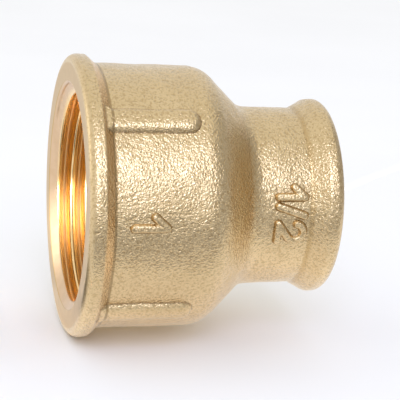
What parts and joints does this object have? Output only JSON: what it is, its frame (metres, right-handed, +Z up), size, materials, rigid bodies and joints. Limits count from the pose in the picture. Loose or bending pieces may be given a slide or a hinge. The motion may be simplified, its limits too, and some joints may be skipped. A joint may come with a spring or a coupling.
{
  "type": "reducing coupling",
  "caption": "Reducing coupling: a beaded brass socket with a large female pipe thread at one end and a small one at the other, joined by a sloping shoulder.",
  "frame": {"origin": "on the pipe axis at mid-length, which is the centre of the bounding box", "axes": "+X along the pipe axis towards the small end, the large end faces -X, the raised size marks face -Y, +Z up"},
  "size_m": [0.0388, 0.042, 0.042],
  "materials": {
    "forged_brass": "sand-blasted forged skin",
    "machined_brass": "bright turned and tapped"
  },
  "bodies": {
    "root": {"coupling_body": "forged_brass", "grip_rib_1": "forged_brass", "grip_rib_2": "forged_brass", "grip_rib_3": "forged_brass", "grip_rib_4": "forged_brass", "large_size_mark": "forged_brass", "small_size_mark": "forged_brass"}
  },
  "joints": []
}
